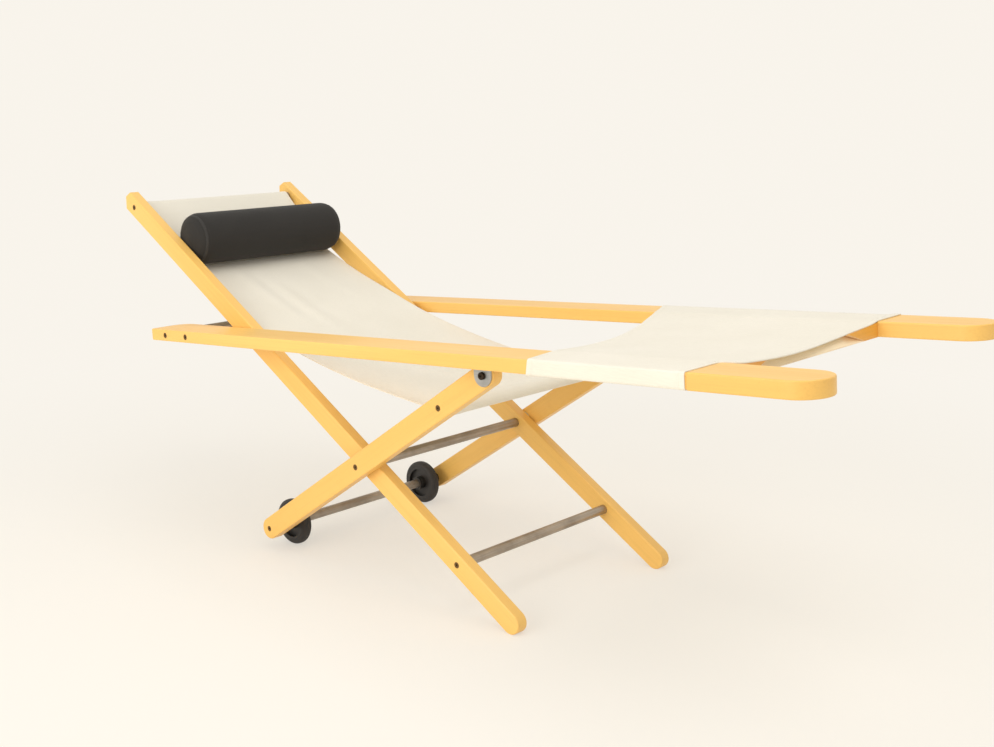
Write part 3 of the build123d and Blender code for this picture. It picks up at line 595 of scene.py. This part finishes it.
sling_seams = []
for face in (1, -1):
    for y in (STITCH_IN - SLING_HALF, SLING_HALF - STITCH_IN):
        seam = []
        for k in range(sheet_first, sheet_last + 1):
            p, n = sling_spot(k, y)
            seam.append((p + n * (face * HEM_THICK / 2), n * face))
        sling_seams.append(seam)
for base, shift, face in ((sheet_first, HEAD_SEAM - SEAM_IN, 1), (sheet_last, SEAM_IN - SEAT_SEAM, -1)):
    k = min(range(sheet_first, sheet_last), key=lambda i: abs(sling_run[i] - sling_run[base] - shift))
    seam = []
    for y in sling_across[3:-3]:
        p, n = sling_spot(k, y)
        seam.append((p + n * (face * CLOTH / 2), n * face))
    sling_seams.append(seam)
sling_stitches = stitches("sling_stitches", sling_seams)
finish(sling_stitches, thread)

for piece in (sling, sling_stitches):
    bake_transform(piece)
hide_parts("sling")


# Leg canvas

RAIL_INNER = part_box("arm_rail_left")[0][1] + HANDLE_PROUD
RAIL_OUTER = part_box("arm_rail_left")[1][1] - HANDLE_PROUD
WRAP_IN = RAIL_INNER - CLOTH_OFF
WRAP_OUT = RAIL_OUTER + CLOTH_OFF
WRAP_LOW = RAIL_UNDER - CLOTH_OFF
WRAP_HIGH = RAIL_UNDER + RAIL_THICK + CLOTH_OFF
WRAP_ROUND = RAIL_ROUND + CLOTH_OFF
FLAP = 16 * MM                         # sewn edge of a tunnel, under the sheet
OVER_HANDLE = HANDLE_PROUD + CLOTH_GAP


def on_rail(s, y, n):
    """A point given along the rail from the bolt, across, and above the bolt."""
    return BOLT + RAIL_ALONG * s + RAIL_UP * n + Vector((0, y, 0))


def rear_edge(y):
    """Station of the askew rear edge across the top, smooth through the measured places."""
    places = [(a * MM, b * MM) for a, b in REAR_EDGE]
    y = min(max(y, places[0][0]), places[-1][0])
    for k in range(len(places) - 1):
        if y <= places[k + 1][0]:
            break
    (y0, s0), (y1, s1) = places[k], places[k + 1]
    slope = []
    for m in (k, k + 1):
        low, high = places[max(m - 1, 0)], places[min(m + 1, len(places) - 1)]
        slope.append((high[1] - low[1]) / (high[0] - low[0]))
    h = y1 - y0
    t = (y - y0) / h
    return ((2 * t ** 3 - 3 * t * t + 1) * s0 + (t ** 3 - 2 * t * t + t) * h * slope[0]
            + (3 * t * t - 2 * t ** 3) * s1 + (t ** 3 - t * t) * h * slope[1])


def wrap_line():
    """One side's way of the canvas as (y, n, kind), from the sewn flap round the rail to the middle."""
    line = [(WRAP_IN - off, None, "flap") for off in (FLAP, FLAP / 2, 3 * MM)]
    corners = [((WRAP_IN, WRAP_LOW), pi, 1.5 * pi), ((WRAP_OUT, WRAP_LOW), 1.5 * pi, 2 * pi),
               ((WRAP_OUT, WRAP_HIGH), 0, pi / 2)]
    middle_y = (WRAP_IN + WRAP_OUT) / 2
    middle_n = (WRAP_LOW + WRAP_HIGH) / 2
    line += [(WRAP_IN, WRAP_HIGH - 6 * MM, "inner"), (WRAP_IN, middle_n, "inner")]
    for (y, n), first, last in corners:
        cy = y + WRAP_ROUND * (1 if y < middle_y else -1)
        cn = n + WRAP_ROUND * (1 if n < middle_n else -1)
        bend = arc(Vector((cy, cn)), WRAP_ROUND, first, last, radians(22.5))
        if last == 1.5 * pi:
            line += [(p.x, p.y, "inner" if k < 2 else "under") for k, p in enumerate(bend)]
            line += [(WRAP_IN + (WRAP_OUT - WRAP_IN) * k / WRAP_STEPS, WRAP_LOW, "under")
                     for k in range(1, WRAP_STEPS)]
        elif last == 2 * pi:
            line += [(p.x, p.y, "under" if k < 3 else "outer") for k, p in enumerate(bend)]
            line.append((WRAP_OUT, middle_n, "outer"))
        else:
            line += [(p.x, p.y, "outer" if k < 2 else "top") for k, p in enumerate(bend)]
            line += [(WRAP_OUT + (WRAP_IN - WRAP_OUT) * k / WRAP_STEPS, WRAP_HIGH, "top")
                     for k in range(1, WRAP_STEPS)]
    line += [(WRAP_IN * (1 - k / SHEET_COLUMNS), None, "sheet") for k in range(SHEET_COLUMNS)]
    return line


def canvas_level(s, y):
    """Height of the canvas between the rails: it sags, and lies on the cross bar at the front."""
    front = smooth_step((s - SAG_FROM) / SAG_OVER)
    sag = SAG_MIDDLE + (SAG_FRONT - SAG_MIDDLE) * front
    ease = noise.noise(Vector((s * 6, y * 6, 8.0))) * CANVAS_DRIFT * (1 - front)
    share = min(abs(y) / WRAP_IN, 1.0)
    return WRAP_HIGH - (sag + ease) * (1 - share ** 2)


def canvas_ends(side, y, n, kind):
    """First and last station of the canvas at one place of its way across."""
    front = CANVAS_FRONT
    down = 0.0
    if n is not None:
        down = min(max((WRAP_HIGH - n) / (WRAP_HIGH - WRAP_LOW), 0), 1)
    if side > 0 and kind in ("sheet", "top", "outer"):
        front += CANVAS_OVER * (1 - down)
    if kind == "sheet":
        skew = LIP_SKEW * smooth_step((SKEW_FROM - side * y) / SKEW_WIDE)
        front += (CANVAS_FRONT + CANVAS_LIP + skew - front) * smooth_step((WRAP_IN - y) / LIP_EASE[side])
    if kind in ("sheet", "top", "flap"):
        return rear_edge(side * y), front
    top = rear_edge(side * (WRAP_IN if kind == "inner" else WRAP_OUT))
    if kind == "under":
        return max(CANVAS_NOTCH, REAR_LOW[side]), front
    low = REAR_LOW[side] if kind == "inner" else top - 5 * MM
    return top + (low - top) * down, front


def canvas_columns():
    """The whole way across, from the left flap to the right one."""
    half = wrap_line()
    left = [(1, y, n, kind) for y, n, kind in half]
    right = [(-1, y, n, kind) for y, n, kind in reversed(half)]
    return left + [(1, 0.0, None, "sheet")] + right


def canvas_spot(column, s):
    """A point of the canvas at one column and station."""
    side, y, n, kind = column
    lifted = OVER_HANDLE * smooth_step((s - CANVAS_FRONT + LIFT_BEFORE) / LIFT_OVER) if side > 0 else 0.0
    if n is None:
        n = canvas_level(s, y) - (1.5 * CLOTH if kind == "flap" else 0)
        n += lifted * smooth_step(1 - (WRAP_IN - y) / LIFT_FADE)
    elif kind == "top":
        n += lifted
    elif kind == "outer":
        y += lifted
    return on_rail(s, side * y, n)


canvas_ways = canvas_columns()
canvas_points, canvas_hems = [], []
canvas_rows = CANVAS_STEPS + 1 + 2 * len(HEM_ROWS)
for column in canvas_ways:
    first, last = canvas_ends(*column)
    stations = [first + row for row in HEM_ROWS]
    stations += [first + HEM + (last - first - 2 * HEM) * k / CANVAS_STEPS for k in range(CANVAS_STEPS + 1)]
    stations += [last - row for row in reversed(HEM_ROWS)]
    for k, s in enumerate(stations):
        if k < len(HEM_ROWS) or k >= canvas_rows - len(HEM_ROWS):
            canvas_hems.append(len(canvas_points))
        canvas_points.append(canvas_spot(column, s))
canvas_faces = grid_faces(len(canvas_ways), canvas_rows)
leg_canvas = add_mesh("leg_rest_canvas_cover", canvas_points, canvas_faces)
thicken(leg_canvas, canvas_hems)
finish(leg_canvas, canvas)


def canvas_seam(columns, station):
    """Stitch line across some columns, each at the station that a function gives for it."""
    seam = []
    for k in columns:
        s = station(canvas_ways[k])
        p = canvas_spot(canvas_ways[k], s)
        before = canvas_ways[max(k - 1, 0)]
        after = canvas_ways[min(k + 1, len(canvas_ways) - 1)]
        n = RAIL_ALONG.cross(canvas_spot(before, s) - canvas_spot(after, s)).normalized()
        seam.append((p + n * HEM_THICK / 2, n))
    return seam


outside = [k for k, column in enumerate(canvas_ways) if column[3] in ("sheet", "top", "outer")]
canvas_seams = [canvas_seam(outside, lambda column: canvas_ends(*column)[0] + STITCH_IN),
                canvas_seam(outside, lambda column: canvas_ends(*column)[1] - STITCH_IN)]
for side in (1, -1):
    seam = []
    y = WRAP_IN - FLAP + SEAM_IN
    first, last = rear_edge(side * y) + HEM, CANVAS_FRONT - HEM / 2
    for k in range(SEAM_STEPS + 1):
        s = first + (last - first) * k / SEAM_STEPS
        seam.append((on_rail(s, side * y, canvas_level(s, y) + CLOTH / 2), RAIL_UP))
    canvas_seams.append(seam)
canvas_stitches = stitches("leg_rest_stitches", canvas_seams)
finish(canvas_stitches, thread)
for piece in (leg_canvas, canvas_stitches):
    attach(piece, "rail_frame")
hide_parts("leg_rest_canvas")


# Bolster

BOLSTER_FULL = 7 * MM          # the stuffed ends bulge this far past the frame's form
BOLSTER_SHRINK = 3 * MM        # the form starts smaller and swells
BOLSTER_CAP = 5 * MM           # how far a point may move
BOLSTER_END_ROUND = 26 * MM
BOLSTER_DOME = 5 * MM          # the ends are domed
BOLSTER_SIDES = 64
BOLSTER_VOXEL = 5 * MM
BOLSTER_PRESSURE = 4
BOLSTER_STIFF = 25
BOLSTER_BEND = 2
BOLSTER_FRAMES = 20
BOLSTER_SEAM_AT = radians(38)  # place of the end's seam on that rounding
SEAM_SPOTS = 180               # mesh places round that seam
SEAM_SIDES = 8
SEAM_THICK = 1.3 * MM
SEAM_TWIST = 0.2 * MM          # its stitches swell it, so many times round
SEAM_SWELLS = 52
SEAM_HIGH, SEAM_WIDE = 0.55, 2.0  # it lies flat on the cover


def turned_form(name, profile, sides):
    """A closed form turned about the Y axis through the bolster; profile is (y, radius) from end to end."""
    points = [Vector((0, profile[0][0], 0))]
    for y, radius in profile[1:-1]:
        for k in range(sides):
            a = 2 * pi * k / sides
            points.append(Vector((radius * cos(a), y, radius * sin(a))))
    points.append(Vector((0, profile[-1][0], 0)))
    rings = len(profile) - 2
    faces = [(0, 1 + k, 1 + (k + 1) % sides) for k in range(sides)]
    for r in range(rings - 1):
        for k in range(sides):
            m = (k + 1) % sides
            faces.append((1 + r * sides + k, 1 + (r + 1) * sides + k, 1 + (r + 1) * sides + m, 1 + r * sides + m))
    last = len(points) - 1
    start = 1 + (rings - 1) * sides
    faces += [(last, start + (k + 1) % sides, start + k) for k in range(sides)]
    return add_mesh(name, [p + BOLSTER for p in points], faces)


def bolster_profile():
    """Half section of the bolster, domed ends with a soft edge."""
    radius = BOLSTER_RADIUS - BOLSTER_SHRINK
    half = BOLSTER_HALF + BOLSTER_FULL - BOLSTER_SHRINK
    edge = BOLSTER_END_ROUND
    right = [(half - BOLSTER_DOME - edge + edge * sin(a), radius - edge + edge * cos(a))
             for a in (radians(10 * k) for k in range(9))]
    dome = [(half - BOLSTER_DOME * (r / (radius - edge)) ** 2, r)
            for r in ((radius - edge) * k / 6 for k in range(6, 0, -1))]
    right += dome + [(half, 0)]
    body = [(y * (half - BOLSTER_DOME - edge), radius) for y in (-0.75, -0.5, -0.25, 0, 0.25, 0.5, 0.75)]
    return [(-y, r) for y, r in reversed(right)] + body + right


def taken(piece):
    """The piece's mesh as its modifiers leave it; the modifiers go."""
    bpy.context.view_layer.update()
    mesh = bpy.data.meshes.new_from_object(piece.evaluated_get(bpy.context.evaluated_depsgraph_get()))
    piece.modifiers.clear()
    piece.data = mesh


bolster = turned_form("head_bolster", bolster_profile(), BOLSTER_SIDES)
remesh = bolster.modifiers.new("even", "REMESH")
remesh.mode = "VOXEL"
remesh.voxel_size = BOLSTER_VOXEL
taken(bolster)
rest = [v.co.copy() for v in bolster.data.vertices]
swell = bolster.modifiers.new("swell", "CLOTH")
swell.settings.use_pressure = True
swell.settings.uniform_pressure_force = BOLSTER_PRESSURE
swell.settings.effector_weights.gravity = 0
swell.settings.tension_stiffness = BOLSTER_STIFF
swell.settings.compression_stiffness = BOLSTER_STIFF
swell.settings.bending_stiffness = BOLSTER_BEND
for number in range(1, BOLSTER_FRAMES + 1):
    bpy.context.scene.frame_set(number)
taken(bolster)
bpy.context.scene.frame_set(1)
for vertex, start in zip(bolster.data.vertices, rest):
    step = vertex.co - start
    if step.length > BOLSTER_CAP:
        step *= BOLSTER_CAP / step.length
    vertex.co = start + step
# The filling brings the cover to its full radius and length.
spots = [v.co - BOLSTER for v in bolster.data.vertices]
wide = BOLSTER_RADIUS / max(hypot(spot.x, spot.z) for spot in spots)
long = (BOLSTER_HALF + BOLSTER_FULL) / max(abs(spot.y) for spot in spots)
for vertex, spot in zip(bolster.data.vertices, spots):
    vertex.co = BOLSTER + Vector((spot.x * wide, spot.y * long, spot.z * wide))
bolster.data.shade_smooth()
soften(bolster)
finish(bolster, bolster_cloth)
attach(bolster, "post_frame")
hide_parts("bolster_cover", "bolster_core")
bolster_skin = BVHTree.FromPolygons([v.co for v in bolster.data.vertices],
                                    [tuple(p.vertices) for p in bolster.data.polygons])


def end_seam(name, side):
    """Sewn ridge where the bolster's round end meets its side, a little puckered."""
    points, faces = [], []
    count, sides = SEAM_SPOTS, SEAM_SIDES
    origin = BOLSTER + Vector((0, side * (BOLSTER_HALF + BOLSTER_FULL - BOLSTER_DOME - BOLSTER_END_ROUND), 0))
    for k in range(count):
        a = 2 * pi * k / count
        pucker = noise.noise(Vector((4 * cos(a), 4 * sin(a), 2.0 * side)))
        lean = BOLSTER_SEAM_AT + 0.05 * pucker
        spoke = BOLSTER_RADIUS - BOLSTER_END_ROUND
        start = origin + Vector((spoke * cos(a), 0, spoke * sin(a)))
        way = Vector((cos(a) * cos(lean), side * sin(lean), sin(a) * cos(lean)))
        centre, out, _, _ = bolster_skin.ray_cast(start, way)
        along = Vector((-sin(a), 0, cos(a)))
        flat = out.cross(along)
        thick = SEAM_THICK + SEAM_TWIST * sin(SEAM_SWELLS * a)
        for m in range(sides):
            b = 2 * pi * m / sides
            points.append(centre + thick * (out * cos(b) * SEAM_HIGH + flat * sin(b) * SEAM_WIDE))
    for k in range(count):
        for m in range(sides):
            faces.append((k * sides + m, k * sides + (m + 1) % sides,
                          (k + 1) % count * sides + (m + 1) % sides, (k + 1) % count * sides + m))
    piece = add_mesh(name, points, faces)
    # the seam's lighter thread is a painted highlight on that crease
    finish(piece, bolster_thread_and_highlight)
    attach(piece, "post_frame")


end_seam("bolster_seam_left", 1)
end_seam("bolster_seam_right", -1)


# Stage, light and camera

PALE = (0.945, 0.905, 0.835)
FLOOR_TONE = (0.93, 0.89, 0.81)
FLOOR_RADIUS = 9.0
FLOOR_SIDES = 128
FADE_FROM, FADE_TO = 0.5, 2.4          # metres from the middle, where the floor fades into the backdrop
FADE_LEAST = 0.55
WORLD_TONE = (1.0, 0.975, 0.93)
WORLD_STRENGTH = 0.74
CAMERA_AT = (1.7484, -1.8611, 0.9778)
CAMERA_DOWN = 12.58                    # degrees
CAMERA_ROUND = 42.65
CAMERA_LENS = 46.46                    # mm, on a sensor as wide as this
CAMERA_SENSOR = 36


def background_seen(tree):
    """1 for rays from the camera, from gloss and through glass, which see the backdrop's own colour."""
    path = node(tree, "LightPath").outputs
    through = math(tree, "MAXIMUM", path["Is Glossy Ray"], path["Is Transmission Ray"])
    return math(tree, "MAXIMUM", path["Is Camera Ray"], through)


def floor_look():
    """Pale floor that takes the shadow near the object and fades into the backdrop colour."""
    made, tree, shader = material("pale_floor", specular_ior_level=0.0, roughness=1.0)
    shader.inputs["Base Color"].default_value = (*FLOOR_TONE, 1)
    place = node(tree, "TexCoord").outputs["Object"]
    away = node(tree, "VectorMath", [(0, place)], operation="LENGTH").outputs["Value"]
    share = node(tree, "MapRange", [("Value", away), ("From Min", FADE_FROM), ("From Max", FADE_TO),
                                    ("To Min", FADE_LEAST)], interpolation_type="SMOOTHSTEP").outputs[0]
    share = math(tree, "MULTIPLY", share, background_seen(tree))
    glow = node(tree, "Emission", [("Color", (*PALE, 1)), ("Strength", 1.0)]).outputs[0]
    both = node(tree, "MixShader", [(0, share), (1, shader.outputs[0]), (2, glow)]).outputs[0]
    tree.links.new(both, tree.nodes["Material Output"].inputs["Surface"])
    return made


floor_turns = [2 * pi * k / FLOOR_SIDES for k in range(FLOOR_SIDES)]
floor_points = [Vector((0, 0, 0))]
floor_points += [Vector((FLOOR_RADIUS * cos(a), FLOOR_RADIUS * sin(a), 0)) for a in floor_turns]
floor = add_mesh("floor", floor_points, [(0, 1 + k, 1 + (k + 1) % FLOOR_SIDES) for k in range(FLOOR_SIDES)])
finish(floor, floor_look())

world = bpy.data.worlds.new("studio")
bpy.context.scene.world = world
world.use_nodes = True
world_tree = world.node_tree
back = world_tree.nodes["Background"]
back.inputs["Color"].default_value = (*WORLD_TONE, 1)
back.inputs["Strength"].default_value = WORLD_STRENGTH
backdrop = node(world_tree, "Background", [("Color", (*PALE, 1)), ("Strength", 1.0)])
both = node(world_tree, "MixShader", [(0, background_seen(world_tree)), (1, back.outputs[0]),
                                      (2, backdrop.outputs[0])])
world_tree.links.new(both.outputs[0], world_tree.nodes["World Output"].inputs["Surface"])


def lamp(name, place, target, size, power, colour):
    """A soft rectangular lamp aimed at a point."""
    light = bpy.data.lights.new(name, "AREA")
    light.shape = "RECTANGLE"
    light.size, light.size_y = size
    light.energy = power
    light.color = colour
    piece = bpy.data.objects.new(name, light)
    piece.location = place
    piece.rotation_euler = (Vector(target) - Vector(place)).to_track_quat("-Z", "Y").to_euler()
    bpy.context.scene.collection.objects.link(piece)


lamp("key", (-0.15, -3.4, 1.5), (0.2, 0, 0.4), (2.6, 2.0), 53, (1.0, 0.99, 0.96))
lamp("top", (1.0, -0.2, 3.3), (0, 0, 0.4), (2.4, 2.4), 32, (1.0, 0.98, 0.95))

camera = bpy.data.cameras.new("camera")
camera.sensor_fit = "HORIZONTAL"
camera.sensor_width = CAMERA_SENSOR
camera.lens = CAMERA_LENS
eye = bpy.data.objects.new("camera", camera)
eye.location = CAMERA_AT
eye.rotation_euler = (radians(90 - CAMERA_DOWN), 0, radians(CAMERA_ROUND))
bpy.context.scene.collection.objects.link(eye)
bpy.context.scene.camera = eye
bpy.context.scene.view_settings.view_transform = "Standard"
